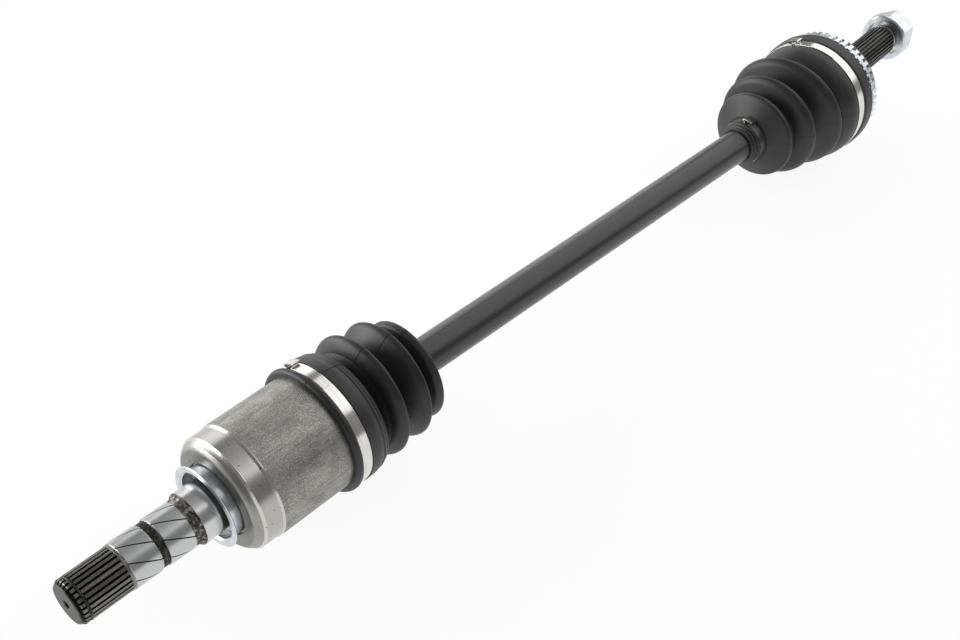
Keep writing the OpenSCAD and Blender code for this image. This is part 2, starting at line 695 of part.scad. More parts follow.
// Outline of a pinched ear: a strip that rises from the band, swells and comes down again.
function ear_outline(r_out) =
    let (h = ear_len / 2, z = r_out - 0.7 * band_t, top = r_out + ear_h,
        side = [[h - 1.8, z], [h - 1.6, r_out + 0.25 * ear_h], [h, r_out + 0.5 * ear_h],
            [h, top - 0.7], [h - 0.7, top]],
        hollow = [[h - 1.8 - band_t, z], [h - 1.6 - band_t, r_out + 0.3 * ear_h],
            [h - band_t, r_out + 0.55 * ear_h], [h - 0.7 - band_t, top - band_t]])
    concat(side, [for (i = [len(side) - 1 : -1 : 0]) [-side[i][0], side[i][1]]],
        [for (p = hollow) [-p[0], p[1]]], [for (i = [len(hollow) - 1 : -1 : 0]) hollow[i]]);

// A stainless band about the X axis. Its pinched ear is turned to angle a, and its tail lies over it.
module ear_clamp(x0, w, r_out, a) color(band_steel) {
    tube_x(x0, x0 + w, r_out, r_out - band_t);
    rotate([a - 90, 0, 0]) {
        translate([x0 + 0.5, 0, 0])
            rotate([90, 0, 90])
                linear_extrude(w - 1)
                    polygon(ear_outline(r_out));
        translate([x0 + 0.3, 0, 0])
            rotate([0, 90, 0])
                rotate_extrude(start = 180 + ear_foot, angle = tail_angle - ear_foot)
                    translate([r_out - band_t / 2, 0])
                        square([band_t, w - 0.6]);
    }
}

module inboard_large_clamp() at_inboard()
    ear_clamp(in_clamp_x, in_clamp_w, in_clamp_r, in_ear_angle);

module outboard_large_clamp() at_outboard()
    ear_clamp(out_clamp_x, out_clamp_w, out_clamp_r, out_ear_angle);

module inboard_small_clamp() at_bar()
    ear_clamp(in_cuff_x + cuff_edge, small_clamp_w, small_clamp_r, in_small_ear_angle);

module outboard_small_clamp() at_bar()
    ear_clamp(centre_distance - out_cuff_x - cuff_edge - small_clamp_w, small_clamp_w, small_clamp_r,
        out_small_ear_angle);

// ---------------------------------------------------------------- bar

module axle_bar() color(dark_steel) at_bar() {
    l = centre_distance;
    in_end = -hub_half - bar_tip;
    out_end = l + race_half + bar_tip;
    root_r = bar_spline_d / 2 - bar_spline_depth;
    seat_r = bar_r - 0.5;
    in_seat_x = in_cuff_x + cuff_edge;
    out_seat_x = l - out_cuff_x - cuff_edge;
    difference() {
        union() {
            turned([[in_end, 0], [in_end, root_r - 0.8], [in_end + 0.8, root_r], [hub_half + 2, root_r],
                [hub_half + 3.5, neck_r], [in_cuff_x - neck_blend - 4, neck_r], [in_cuff_x - 4, bar_r],
                [in_seat_x, bar_r], [in_seat_x + 0.6, seat_r],
                [in_seat_x + small_clamp_w - 0.6, seat_r], [in_seat_x + small_clamp_w, bar_r],
                [out_seat_x - small_clamp_w, bar_r], [out_seat_x - small_clamp_w + 0.6, seat_r],
                [out_seat_x - 0.6, seat_r], [out_seat_x, bar_r],
                [l - out_cuff_x + 4, bar_r], [l - out_cuff_x + 4 + neck_blend, neck_r],
                [l - race_half - 3.5, neck_r], [l - race_half - 2, root_r], [out_end - 0.8, root_r],
                [out_end, root_r - 0.8], [out_end, 0]]);
            for (s = [[in_end + 0.8, hub_half + 2.4], [l - race_half - 2.4, out_end - 0.8]])
                splined_x(s[0], s[1], bar_spline_teeth, bar_spline_d / 2, bar_spline_depth + spline_sink);
        }
        for (x = [-hub_half - push_gap - snap_ring_t, hub_half + push_gap, l + race_half + push_gap])
            tube_x(x, x + snap_ring_t, bar_spline_d / 2 + overlap,
                bar_spline_d / 2 - snap_ring_h / 2 - push_gap);
    }
}

// ---------------------------------------------------------------- wheel side

// Share of the joint's bend that a ball turns by about the centre of its inner track.
function ball_follow(a) = 0.5 * cos(a) * (1 + 0.045 * pow(sin(a), 2));

// A ball track: a ring-shaped bore about [cx, 0, 0], between two angles from the +X side.
module ball_track(a, cx, from, to) {
    rotate([a, 0, 0])
        translate([cx, 0, 0])
            rotate_extrude(start = from, angle = to - from)
                translate([ball_path_r, 0])
                    circle(track_bore_r);
}

module inner_race() color(steel) at_race()
    difference() {
        ball_slice(race_r, -race_half, race_half);
        for (a = ball_angles)
            ball_track(a, track_offset, 48, 146);
        splined_x(-race_half - overlap, race_half + overlap, bar_spline_teeth,
            bar_spline_d / 2, bar_spline_depth, spline_clear);
    }

module race_snap_ring() color(dark_steel) at_race()
    snap_ring(race_half + push_gap);

// Rounded window of the cage, cut outward along +Y.
module cage_window() {
    corner = 3.5;
    half_x = ball_d / 2 + window_gap;
    half_z = ball_d / 2 + window_drift;
    depth = cage_out_r - cage_in_r + 16;
    translate([0, cage_in_r - 10, 0])
        rotate([-90, 0, 0]) {
            translate([-half_x, -half_z + corner, 0])
                cube([2 * half_x, 2 * (half_z - corner), depth]);
            translate([-half_x + corner, -half_z, 0])
                cube([2 * (half_x - corner), 2 * half_z, depth]);
            for (sx = [-1, 1], sz = [-1, 1])
                translate([sx * (half_x - corner), sz * (half_z - corner), 0])
                    cylinder(h = depth, r = corner, $fn = 32);
        }
}

module ball_cage() color(ground_steel) at_race()
    rotate([0, 0, outboard_rest_bend / 2])
        difference() {
            ball_slice(cage_out_r, -cage_half, cage_half);
            ball_slice(cage_in_r, -cage_half - overlap, cage_half + overlap);
            for (a = ball_angles)
                rotate([a, 0, 0])
                    cage_window();
        }

module ball(i) color(ground_steel) {
    a = ball_angles[i];
    at_race()
        rotate([a, 0, 0])
            translate([track_offset, 0, 0])
                rotate([0, 0, ball_follow(a) * outboard_rest_bend])
                    translate([-track_offset, ball_r, 0])
                        sphere(ball_d / 2);
}

module bell_outside() {
    seat_r = bell_seat_d / 2;
    rib_r = bell_rib_d / 2;
    ring_r = ring_seat_d / 2;
    spline_root = hub_spline_d / 2 - hub_spline_depth;
    thread_r = thread_d / 2;
    turned(concat(
        [[-bell_mouth_x, 0], [-bell_mouth_x, seat_r - 0.8], [-bell_mouth_x + 0.8, seat_r],
            [out_lip_x[0] + 1.2, seat_r], [out_lip_x[0] + 2.6, rib_r], [sensor_x[0] - 1.6, rib_r],
            [sensor_x[0] - 0.8, rib_r - 0.8], [sensor_x[0] - 0.8, ring_r], [sensor_x[1] + 1, ring_r]],
        arc(sensor_x[1] + 1, ring_r - 19, 19, 84, 12, 8),
        [[shoulder_x - 2.5, shoulder_d / 2 + 0.5], [shoulder_x, shoulder_d / 2 - 0.8],
            [shoulder_x, shoulder_d / 2 - 4], [shoulder_x + 1.5, hub_spline_d / 2 + 2.2],
            [shoulder_x + 5, hub_spline_d / 2 + 0.8], [shoulder_x + 8, spline_root],
            [hub_spline_x - 1, spline_root], [hub_spline_x + 0.4, thread_r - 0.7],
            [hub_spline_x + 3, thread_r - 0.7], [hub_spline_x + 3.7, thread_r],
            [hub_stub_x - 1.5, thread_r], [hub_stub_x, thread_r - 1.5], [hub_stub_x, 0]]));
}

module outboard_bell() color(dark_steel) at_outboard() {
    mouth_r = bell_mouth_x + bar_r * sqrt(2) + 0.9;
    flare_x = 12;
    run_out = 1 + asin(track_bore_r / ball_path_r);
    difference() {
        union() {
            bell_outside();
            intersection() {
                splined_x(shoulder_x + 4, hub_spline_x, hub_spline_teeth, hub_spline_d / 2,
                    hub_spline_depth + spline_sink);
                turned([[shoulder_x + 4, 0], [shoulder_x + 4, hub_spline_d / 2 + 0.1],
                    [hub_spline_x - 2, hub_spline_d / 2 + 0.1], [hub_spline_x, hub_spline_d / 2 - 1.6],
                    [hub_spline_x, 0]]);
            }
        }
        ball_slice(bell_cavity_r, -bell_mouth_x - 2 * overlap, bell_floor_x);
        turned([[-flare_x, 0], [-flare_x, mouth_r - bell_mouth_x + flare_x], [-bell_mouth_x - overlap, mouth_r + overlap],
            [-bell_mouth_x - overlap, 0]]);
        for (a = ball_angles)
            ball_track(a, -track_offset, 90 - ball_path_rest - max_bend / 2 - run_out, 135);
        turned([[hub_stub_x + overlap, 0], [hub_stub_x + overlap, 4.6], [hub_stub_x, 3.6],
            [hub_stub_x - 3.6, 1.6], [hub_stub_x - 8, 1.6], [hub_stub_x - 8, 0]]);
    }
}

module sensor_ring() color(zinc) at_outboard()
    difference() {
        splined_x(sensor_x[0], sensor_x[1], sensor_teeth, sensor_d / 2, sensor_depth);
        round_x(sensor_x[0] - overlap, sensor_x[1] + overlap, ring_seat_d / 2 + push_gap);
    }

module axle_nut() color(zinc) at_outboard() {
    corner_r = nut_af / 2 / cos(30);
    difference() {
        union() {
            turned([[nut_x, 0], [nut_x, nut_face_d / 2 - 1.2], [nut_x + 1.2, nut_face_d / 2],
                [nut_x + nut_flange_h - 0.6, nut_face_d / 2], [nut_x + nut_flange_h + 1, nut_af / 2],
                [nut_x + nut_flange_h + 1, 0]]);
            intersection() {
                translate([nut_x + 1, 0, 0])
                    rotate([0, 90, 0])
                        cylinder(h = nut_h - 1, r = corner_r, $fn = 6);
                turned([[nut_x, 0], [nut_x, corner_r + 1], [nut_x + nut_h - 1.8, corner_r + 1],
                    [nut_x + nut_h, nut_af / 2 - 0.3], [nut_x + nut_h, 0]]);
            }
        }
        round_x(nut_x - overlap, nut_x + nut_h + overlap, thread_d / 2 + push_gap);
        round_x(nut_x - overlap, nut_x + nut_recess_h, nut_recess_d / 2);
    }
}

inboard_housing();
stub_circlip();
dust_shield();
tripod_spider();
spider_snap_rings();
tilt_ring(0);  // tilt_ring_1
tilt_ring(1);  // tilt_ring_2
tilt_ring(2);  // tilt_ring_3
needle_set(0);  // needles_1
needle_set(1);  // needles_2
needle_set(2);  // needles_3
roller(0);  // roller_1
roller(1);  // roller_2
roller(2);  // roller_3
needle_keepers(0);  // needle_keepers_1
needle_keepers(1);  // needle_keepers_2
needle_keepers(2);  // needle_keepers_3
inboard_boot();
inboard_large_clamp();
inboard_small_clamp();
axle_bar();
outboard_boot();
outboard_large_clamp();
outboard_small_clamp();
inner_race();
race_snap_ring();
ball_cage();
ball(0);  // ball_1
ball(1);  // ball_2
ball(2);  // ball_3
ball(3);  // ball_4
ball(4);  // ball_5
ball(5);  // ball_6
outboard_bell();
sensor_ring();
axle_nut();
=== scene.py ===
"""Looks of a front drive axle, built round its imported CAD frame.

It adds the two rubber boots and the stub's thread, and gives every piece its steel, plating, paint or rubber.
Sizes are in millimetres along and from the axis of each joint member, and objects are in metres.
"""

import json
import math
import bmesh
import bpy
from mathutils import Matrix, Vector


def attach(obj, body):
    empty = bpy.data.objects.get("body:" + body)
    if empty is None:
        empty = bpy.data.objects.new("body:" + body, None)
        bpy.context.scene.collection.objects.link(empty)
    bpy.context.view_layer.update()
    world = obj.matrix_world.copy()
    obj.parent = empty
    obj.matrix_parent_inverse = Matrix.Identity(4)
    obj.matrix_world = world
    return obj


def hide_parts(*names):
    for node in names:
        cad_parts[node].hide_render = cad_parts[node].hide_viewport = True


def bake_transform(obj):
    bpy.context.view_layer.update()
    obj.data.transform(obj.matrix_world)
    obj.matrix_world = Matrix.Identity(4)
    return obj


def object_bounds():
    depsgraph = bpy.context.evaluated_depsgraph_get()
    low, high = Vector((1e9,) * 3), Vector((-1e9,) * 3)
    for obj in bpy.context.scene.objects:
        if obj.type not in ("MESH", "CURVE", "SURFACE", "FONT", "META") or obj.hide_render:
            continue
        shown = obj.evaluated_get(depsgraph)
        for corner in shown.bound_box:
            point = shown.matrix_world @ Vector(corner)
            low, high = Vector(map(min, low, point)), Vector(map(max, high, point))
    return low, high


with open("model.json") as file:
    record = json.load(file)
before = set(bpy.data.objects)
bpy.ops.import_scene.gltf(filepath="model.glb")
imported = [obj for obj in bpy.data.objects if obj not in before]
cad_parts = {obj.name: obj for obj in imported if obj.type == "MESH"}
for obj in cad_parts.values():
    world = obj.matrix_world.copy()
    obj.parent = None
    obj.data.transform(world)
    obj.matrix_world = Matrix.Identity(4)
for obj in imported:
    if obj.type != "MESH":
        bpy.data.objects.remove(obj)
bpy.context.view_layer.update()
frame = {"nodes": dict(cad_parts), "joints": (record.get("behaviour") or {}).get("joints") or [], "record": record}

MM = 0.001
JOINTS = {joint["name"]: joint for joint in frame["joints"]}
MOUNTS = {mount["name"]: mount for mount in frame["record"]["mounts"]}
TRIPOD = Vector(JOINTS["inboard_bend"]["pos_m"])
RACE = Vector(JOINTS["outboard_bend"]["pos_m"])
STUB_AXIS = Vector((1, 0, 0))
WHEEL_AXIS = Vector(MOUNTS["hub_spline"]["axis"])


def placed(centre, direction):
    """The place of a joint member: X along direction, Z up, the joint's centre at its origin."""
    return Matrix.Translation(centre) @ direction.to_track_quat("X", "Z").to_matrix().to_4x4()


HOUSING = placed(TRIPOD, STUB_AXIS)
BAR = placed(TRIPOD, RACE - TRIPOD)
BAR_AT_RACE = placed(RACE, RACE - TRIPOD)
BELL = placed(RACE, WHEEL_AXIS)
TRIPOD_BEND = (RACE - TRIPOD).angle(STUB_AXIS)
RACE_BEND = (RACE - TRIPOD).angle(WHEEL_AXIS)

# ------------------------------ sizes, in millimetres from each joint's centre
BAR_R = 13.0
HOUSING_R = 40.2
BELL_RIB_R = 47.4

BOOT_SIDES = 180
BOOT_WALL = 2.3
BOOT_FLOOR = BAR_R + 0.1
CLAMP_FLOOR_IN = 42.85
CLAMP_FLOOR_OUT = 49.25
CLAMP_FLOOR_SMALL = 16.72
CUFF_EDGE_R = 18.2
# Each boot is swept from a section that stands on a thin core.
BOOT_CORE_R = 10.0
# The mould's parting line runs along a boot at this angle from +Y, and opposite to it. It winds by the second
# number in degrees a millimetre, and the last number is how much of its painted shade and dullness shows.
PARTING_IN = (90.8, 0.075, 1.0)
PARTING_OUT = (168.0, 0.0, 0.3)
# Distances from the line where the seam fades out and where it is full.
SEAM_FADES = 0.45
SEAM_FULL = 0.2

THREAD_R = 12.0
THREAD_PITCH = 1.5
THREAD_RIDGE = 0.42
THREAD_TURNS = 1.6
THREAD_STARTS = 142.2
THREAD_STEPS = 96
THREAD_SIDES = 8

# Oil grooves wind over the bearing journals, by a lead in degrees a millimetre. One of them passes the angle
# at the station. A groove is full, and fades out, at these shares of the spacing from its own line.
GROOVES = 8
GROOVE_SPACING = 360 / GROOVES
GROOVE_LEAD = 2.0
GROOVE_ANGLE = 41.0
GROOVE_STATION = -129.4
GROOVE_FADES = 0.045
GROOVE_FULL = 0.025

# The spline teeth are darkened near black below the first radius, fully from the second one down.
DARK_ROOTS_HOUSING_TEETH = (14.6, 14.25)
DARK_ROOTS_BELL_TEETH = (13.35, 13.0)

# Each zone runs from its station up to the next one. After its station it has a colour, a roughness, and on
# the gearbox side a share of raw forging skin. A span runs from the first station to past the last zone.
COLOUR = 1
ROUGHNESS = 2
RAW_SHARE = 3
HOUSING_SPAN = (-166.0, 44.0)
HOUSING_ZONES = {
    "stub_tip": (-166.0, "#504f4d", 0.42, 0.7),
    "stub_teeth": (-164.7, "#797873", 0.32, 0.7),
    "teeth_run_out": (-130.9, "#8b8a86", 0.32, 0.0),
    "outer_journal": (-129.3, "#c6c7c7", 0.31, 0.0),
    "scaly_neck": (-110.9, "#45443f", 0.62, 0.8),
    "inner_journal": (-105.3, "#c6c7c7", 0.31, 0.0),
    "scaly_collar": (-87.8, "#6f6c66", 0.55, 1.0),
    "seal_journal": (-82.3, "#cfcfce", 0.26, 0.0),
    "nose_face": (-70.2, "#8d8c88", 0.4, 0.2),
    "nose_round": (-60.4, "#a19f9a", 0.38, 0.2),
    "front_edge": (-56.4, "#cfcdc8", 0.22, 0.0),
    "turned_band": (-54.7, "#b5b3af", 0.26, 0.0),
    "back_edge": (-43.5, "#cbc9c4", 0.2, 0.0),
    "forged_body": (-41.9, "#9d9c97", 0.48, 1.0),
    "mouth_rim": (28.4, "#8f8e8a", 0.35, 0.0)}
BELL_SPAN = (-20.0, 148.0)
BELL_ZONES = {
    "mouth_rim": (-20.0, "#8a8986", 0.3),
    "blackened_wall": (-7.0, "#54545a", 0.42),
    "blackened_back": (16.5, "#4b4b4e", 0.42),
    "turned_collar": (40.5, "#8d8c89", 0.3),
    "neck": (42.3, "#4f4e4c", 0.42),
    "teeth_run_in": (46.0, "#4f4e4c", 0.42),
    "teeth": (49.0, "#4d4c48", 0.4),
    "teeth_end": (117.0, "#4d4c48", 0.4),
    "thread_relief": (117.2, "#a9a8a4", 0.28),
    "thread": (121.5, "#8b8a86", 0.28),
    "stub_end": (145.2, "#a9a8a4", 0.34)}

# The camera stands above the gearbox end and looks along the axle. Its place is in millimetres from the
# frame's origin. The floor and the soft boxes' distance are in metres.
CAMERA_LENS = 49.57
CAMERA_SPOT = (-257.84, -467.72, 598.79)
CAMERA_LOOKS = (0.549699, 0.510795, -0.661)
FLOOR_HALF = 40.0
BOX_DISTANCE = 2.6


# ------------------------------ helpers
def srgb(code):
    """An sRGB hex colour as linear red, green, blue, alpha."""
    parts = [int(code[i:i + 2], 16) / 255 for i in (1, 3, 5)]
    return [p / 12.92 if p <= 0.04045 else ((p + 0.055) / 1.055) ** 2.4 for p in parts] + [1.0]


def add(tree, kind, inputs=None, stops=None, **settings):
    """Adds a node. An input is a value, a socket, or a node whose first output is linked. Stops are a ramp's
    {position: hex colour or grey value}. A Mix node's inputs have numbers: 2 and 3 for values, 4 and 5 for
    vectors, 6 and 7 for colours."""
    node = tree.nodes.new(kind)
    for name, value in settings.items():
        setattr(node, name, value)
    for key, value in (inputs or {}).items():
        if isinstance(value, bpy.types.Node):
            tree.links.new(value.outputs[0], node.inputs[key])
        elif isinstance(value, bpy.types.NodeSocket):
            tree.links.new(value, node.inputs[key])
        else:
            node.inputs[key].default_value = value
    for i, (position, colour) in enumerate(sorted((stops or {}).items())):
        elements = node.color_ramp.elements
        element = elements[i] if i < 2 else elements.new(position)
        element.position = position
        element.color = srgb(colour) if isinstance(colour, str) else [colour] * 3 + [1.0]
    return node


def material(name, **constants):
    """A new material with its tree and its Principled shader, whose plain sockets are set here."""
    new = bpy.data.materials.new(name)
    new.use_nodes = True
    shader = new.node_tree.nodes["Principled BSDF"]
    for key, value in constants.items():
        shader.inputs[key.replace("_", " ")].default_value = value
    return new, new.node_tree, shader


def wire(tree, shader, colour, rough, bump=None):
    """Links a finish's colour, roughness and bump to its shader."""
    tree.links.new(colour, shader.inputs["Base Color"])
    tree.links.new(rough, shader.inputs["Roughness"])
    if bump is not None:
        tree.links.new(bump, shader.inputs["Normal"])


def finish_piece(name, mesh, sharp):
    """Merges doubled points, turns the faces outward, shades all but sharp edges smooth, and adds it."""
    work = bmesh.new()
    work.from_mesh(mesh)
    bmesh.ops.remove_doubles(work, verts=work.verts, dist=1e-7)
    bmesh.ops.recalc_face_normals(work, faces=work.faces)
    work.to_mesh(mesh)
    work.free()
    mesh.shade_smooth()
    mesh.set_sharp_from_angle(angle=math.radians(sharp))
    piece = bpy.data.objects.new(name, mesh)
    bpy.context.scene.collection.objects.link(piece)
    return piece


def evaluated(name, maker, tree, values, sharp):
    """Runs a node tree on a small maker object and keeps the result as one plain mesh."""
    bpy.context.scene.collection.objects.link(maker)
    modifier = maker.modifiers.new("tree", "NODES")
    modifier.node_group = tree
    sockets = {item.name: item.identifier for item in tree.interface.items_tree if item.in_out == "INPUT"}
    for key, value in values.items():
        modifier[sockets[key]] = value
    graph = bpy.context.evaluated_depsgraph_get()
    mesh = bpy.data.meshes.new_from_object(maker.evaluated_get(graph), depsgraph=graph)
    bpy.data.objects.remove(maker)
    mesh.name = name
    return finish_piece(name, mesh, sharp)


# ------------------------------ boots
def rounded(corners, steps=6):
    """A section line through corners of [x, radius, reach], each rounded over its reach to either side."""
    line = []
    for i, (x, r, reach) in enumerate(corners):
        corner = Vector((x, r))
        if reach == 0:
            line.append([x, r])
            continue
        before = corner + (Vector(corners[i - 1][:2]) - corner).normalized() * reach
        after = corner + (Vector(corners[i + 1][:2]) - corner).normalized() * reach
        for step in range(steps + 1):
            t = step / steps
            spot = before * (1 - t) ** 2 + corner * 2 * t * (1 - t) + after * t ** 2
            line.append([spot.x, spot.y])
    return line


def cuff(starts, seat_end, lips):
    """Corners of a boot's small end: an edge, the clamp's seat, and the lips that step down to the bar."""
    edge = CUFF_EDGE_R
    seat = CLAMP_FLOOR_SMALL
    return [[starts + 0.4, edge + 0.1, 0], [starts + 1.05, edge, 0.3], [starts + 1.1, seat, 0.2],
            [seat_end + 0.15, seat, 0.2], [seat_end + 0.2, edge - 0.4, 0.3],
            *[[seat_end + x, r, reach] for x, r, reach in lips],
            [seat_end + lips[-1][0], BOOT_FLOOR + 0.3, 0]]


def closed_section(outer):
    """The outer line and, a wall below it, the inner one."""
    return outer + [[x, max(r - BOOT_WALL, BOOT_FLOOR)] for x, r in reversed(outer)]


# Lips beyond a cuff's seat, as corners at distances from its end. The outboard boot steps down further.
INBOARD_LIPS = [[1.2, CUFF_EDGE_R - 0.6, 0.5]]
OUTBOARD_LIPS = [[1.9, CUFF_EDGE_R - 0.6, 0.5], [2.6, 15.7, 0.4], [3.2, 16.5, 0.4], [4.6, 16.3, 0.5],
                 [5.2, 14.5, 0.4], [5.8, 15.1, 0.4], [7.5, 14.8, 0.6]]

# Corners of [distance from the joint centre, radius, reach of the rounding].
INBOARD_MOUTH = rounded([
    [13.0, HOUSING_R + 0.8, 0], [13.0, 43.6, 1.2], [15.0, 44.9, 1.0], [17.6, 44.9, 1.0],
    [18.0, CLAMP_FLOOR_IN, 0.2], [25.7, CLAMP_FLOOR_IN, 0.2], [25.9, 44.3, 0.5], [33.2, 44.2, 2.0],
    [36.7, 42.9, 0.4], [37.1, 43.5, 0.5], [39.0, 42.6, 0.5], [39.3, 41.9, 0.3], [40.6, 42.1, 0.7],
    [43.0, 40.0, 1.5], [45.4, 28.3, 2.5], [50.2, 35.6, 0]])
INBOARD_NECK = rounded([
    [50.2, 35.6, 0], [55.0, 42.9, 2.0], [58.9, 43.9, 1.9], [64.9, 27.0, 2.2], [67.5, 29.5, 1.5],
    [75.9, 40.6, 2.0], [79.9, 42.3, 1.9], [85.6, 26.2, 2.2], [90.6, 34.9, 1.9], [95.9, 36.1, 1.9],
    [98.3, 19.2, 1.2]] + cuff(98.0, 105.3, INBOARD_LIPS))
OUTBOARD_BOOT = rounded([
    [-5.0, BELL_RIB_R + 2.4, 0], [-5.0, 50.2, 1.2], [-3.4, 51.3, 1.0], [6.6, 51.3, 1.2], [8.2, 50.4, 0.6],
    [8.4, CLAMP_FLOOR_OUT, 0.2], [16.8, CLAMP_FLOOR_OUT, 0.2], [17.0, 49.8, 0.3], [23.0, 49.6, 4.0],
    [32.5, 45.2, 4.0], [38.6, 35.2, 2.4], [41.9, 50.0, 1.9], [45.6, 49.2, 1.8], [49.2, 46.0, 2.6],
    [55.0, 31.0, 2.6], [62.4, 31.0, 2.4], [67.7, 43.7, 1.8], [71.5, 42.9, 1.8], [74.4, 40.0, 2.2],
    [77.8, 28.0, 2.2], [82.8, 27.6, 1.6], [86.2, 35.9, 1.8], [90.0, 35.5, 1.8],
    [97.6, 19.0, 1.5]] + cuff(97.0, 104.3, OUTBOARD_LIPS))


def boot_sweep():
    """Node tree: sweeps a section round the axis, leans it from the bar's axis to the joint member's, and
    lets the slack middle folds stand off that line."""
    tree = bpy.data.node_groups.new("boot_sweep", "GeometryNodeTree")
    face = tree.interface
    face.new_socket(name="Section", in_out="INPUT", socket_type="NodeSocketGeometry")
    for name in ("Core Radius", "Bend", "Bend From", "Bend To",
                 "Slack From", "Slack Full", "Slack Fades", "Slack To"):
        face.new_socket(name=name, in_out="INPUT", socket_type="NodeSocketFloat")
    for name in ("Stand Off", "Tip"):
        face.new_socket(name=name, in_out="INPUT", socket_type="NodeSocketVector")
    face.new_socket(name="Sides", in_out="INPUT", socket_type="NodeSocketInt")
    face.new_socket(name="Rubber", in_out="INPUT", socket_type="NodeSocketMaterial")
    face.new_socket(name="Boot", in_out="OUTPUT", socket_type="NodeSocketGeometry")
    given = add(tree, "NodeGroupInput").outputs
    section = add(tree, "GeometryNodeMeshToCurve", {"Mesh": given["Section"]})
    circle = add(tree, "GeometryNodeCurvePrimitiveCircle", {"Resolution": given["Sides"],
                                                            "Radius": given["Core Radius"]})
    swept = add(tree, "GeometryNodeCurveToMesh", {"Curve": circle, "Profile Curve": section})
    # The sweep stands on Z; its height becomes the distance along X.
    spot = add(tree, "ShaderNodeSeparateXYZ", {0: add(tree, "GeometryNodeInputPosition")})
    across = add(tree, "ShaderNodeCombineXYZ", {"Y": spot.outputs["X"], "Z": spot.outputs["Y"]})
    rise = add(tree, "ShaderNodeMapRange", {
        "Value": spot.outputs["Z"], "From Min": given["Slack From"], "From Max": given["Slack Full"]},
               interpolation_type="SMOOTHSTEP")
    fade = add(tree, "ShaderNodeMapRange", {
        "Value": spot.outputs["Z"], "From Min": given["Slack To"], "From Max": given["Slack Fades"]},
               interpolation_type="SMOOTHSTEP")
    slack = add(tree, "ShaderNodeMath", {0: rise, 1: fade}, operation="MULTIPLY")
    tipped = add(tree, "ShaderNodeVectorMath", {0: across, 1: given["Tip"]}, operation="DOT_PRODUCT")
    drift = add(tree, "ShaderNodeMath", {0: tipped.outputs["Value"], 1: slack}, operation="MULTIPLY")
    along = add(tree, "ShaderNodeMath", {0: spot.outputs["Z"], 1: drift}, operation="ADD")
    lying = add(tree, "ShaderNodeCombineXYZ", {"X": along, "Y": spot.outputs["X"], "Z": spot.outputs["Y"]})
    off = add(tree, "ShaderNodeVectorMath", {0: given["Stand Off"], "Scale": slack.outputs[0]},
              operation="SCALE")
    slack_line = add(tree, "ShaderNodeVectorMath", {0: lying, 1: off}, operation="ADD")
    leaned = add(tree, "ShaderNodeVectorRotate", {
        "Vector": slack_line, "Axis": (0, 0, 1), "Angle": given["Bend"]}, rotation_type="AXIS_ANGLE")
    share = add(tree, "ShaderNodeMapRange", {
        "Value": spot.outputs["Z"], "From Min": given["Bend From"], "From Max": given["Bend To"]},
                interpolation_type="SMOOTHSTEP")
    blended = add(tree, "ShaderNodeMix", {0: share, 4: slack_line, 5: leaned}, data_type="VECTOR")
    moved = add(tree, "GeometryNodeSetPosition", {"Geometry": swept, "Position": blended.outputs[1]})
    real = add(tree, "GeometryNodeRealizeInstances", {0: moved})
    coloured = add(tree, "GeometryNodeSetMaterial", {"Geometry": real, "Material": given["Rubber"]})
    add(tree, "NodeGroupOutput", {0: coloured})
    return tree


def boot_piece(name, outer, side, place, lean, rubber):
    """A boot or a part of one. Side is 1 where it runs along +X from its joint and -1 where it runs back.
    Lean holds the bend, and the stations and offsets of the slack folds, as the tree's inputs name them."""
    points = [((r - BOOT_CORE_R) * MM, -side * x * MM, 0.0) for x, r in closed_section(outer)]
    mesh = bpy.data.meshes.new(name + "_section")
    mesh.from_pydata(points, [(i, (i + 1) % len(points)) for i in range(len(points))], [])
    maker = bpy.data.objects.new(name + "_section", mesh)
    values = {"Core Radius": BOOT_CORE_R * MM, "Sides": BOOT_SIDES, "Rubber": rubber, **lean}
    piece = evaluated(name, maker, BOOT_SWEEP, values, sharp=50)
    piece.data.transform(place)
    return piece


# ------------------------------ thread on the wheel stub
def stub_thread():
    """Node tree: a round-crested ridge that climbs round the stub by one pitch a turn."""
    tree = bpy.data.node_groups.new("stub_thread", "GeometryNodeTree")
    face = tree.interface
    face.new_socket(name="Maker", in_out="INPUT", socket_type="NodeSocketGeometry")
    for name in ("Radius", "Pitch", "Turns", "Ridge"):
        face.new_socket(name=name, in_out="INPUT", socket_type="NodeSocketFloat")
    face.new_socket(name="Steel", in_out="INPUT", socket_type="NodeSocketMaterial")
    face.new_socket(name="Thread", in_out="OUTPUT", socket_type="NodeSocketGeometry")
    given = add(tree, "NodeGroupInput").outputs
    height = add(tree, "ShaderNodeMath", {0: given["Pitch"], 1: given["Turns"]}, operation="MULTIPLY")
    helix = add(tree, "GeometryNodeCurveSpiral", {
        "Resolution": THREAD_STEPS, "Rotations": given["Turns"], "Start Radius": given["Radius"],
        "End Radius": given["Radius"], "Height": height})
    ridge = add(tree, "GeometryNodeCurvePrimitiveCircle", {"Resolution": THREAD_SIDES,
                                                           "Radius": given["Ridge"]})
    swept = add(tree, "GeometryNodeCurveToMesh", {"Curve": helix, "Profile Curve": ridge, "Fill Caps": True})
    real = add(tree, "GeometryNodeRealizeInstances", {0: swept})
    coloured = add(tree, "GeometryNodeSetMaterial", {"Geometry": real, "Material": given["Steel"]})
    add(tree, "NodeGroupOutput", {0: coloured})
    return tree


